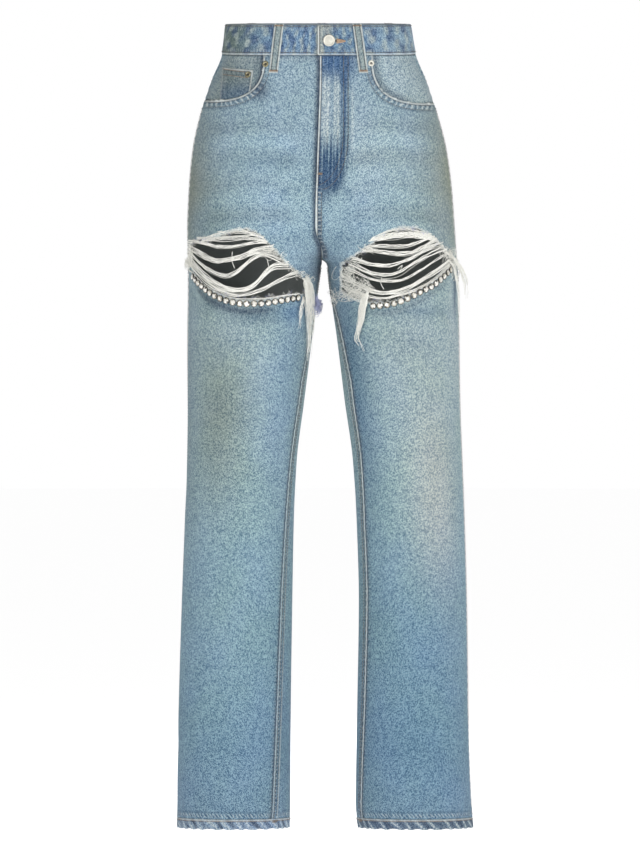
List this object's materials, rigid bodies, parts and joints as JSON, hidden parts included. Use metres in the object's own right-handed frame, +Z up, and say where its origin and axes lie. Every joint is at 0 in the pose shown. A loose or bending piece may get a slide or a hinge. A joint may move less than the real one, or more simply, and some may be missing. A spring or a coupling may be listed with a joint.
{
  "type": "jeans",
  "caption": "High-rise straight-leg light-wash denim jeans with wide frayed thigh rips edged in clear crystals, filled out and hollow, open at waist and hems.",
  "frame": {"origin": "middle of the waist opening at the level of the waistband's top edge at the sides, where the wearer holds the garment", "axes": "+Z up along the body, -Y out of the front, +X towards the wearer's left"},
  "size_m": [0.397, 0.2242, 1.0837],
  "materials": {
    "denim": "light stone-washed twill",
    "denim_worn": "faded twill with worn edges",
    "denim_dark": "streaked indigo twill",
    "metal": "pale silver, slightly dull",
    "yarn": "loose off-white cotton",
    "crystal": "faceted, in dull silver settings"
  },
  "bodies": {
    "root": {"front_right": "denim", "front_left": "denim", "back_right": "denim", "back_left": "denim", "yoke_right": "denim", "yoke_left": "denim", "back_pocket_right": "denim", "back_pocket_left": "denim", "waistband": "denim", "pocket_facing_right": "denim_worn", "pocket_facing_left": "denim_worn", "coin_pocket": "denim_worn", "loop_front_right": "denim_worn", "loop_front_left": "denim_worn", "loop_back_right": "denim_worn", "loop_back_left": "denim_worn", "loop_back": "denim_worn", "hem_right": "denim_worn", "hem_left": "denim_worn", "fly_placket": "denim_dark", "button": "metal", "rivet_right": "metal", "rivet_left": "metal", "rivet_coin": "metal", "rip_threads_right": "yarn", "rip_threads_left": "yarn", "crystal_trim_right": "crystal", "crystal_trim_left": "crystal"}
  },
  "joints": []
}
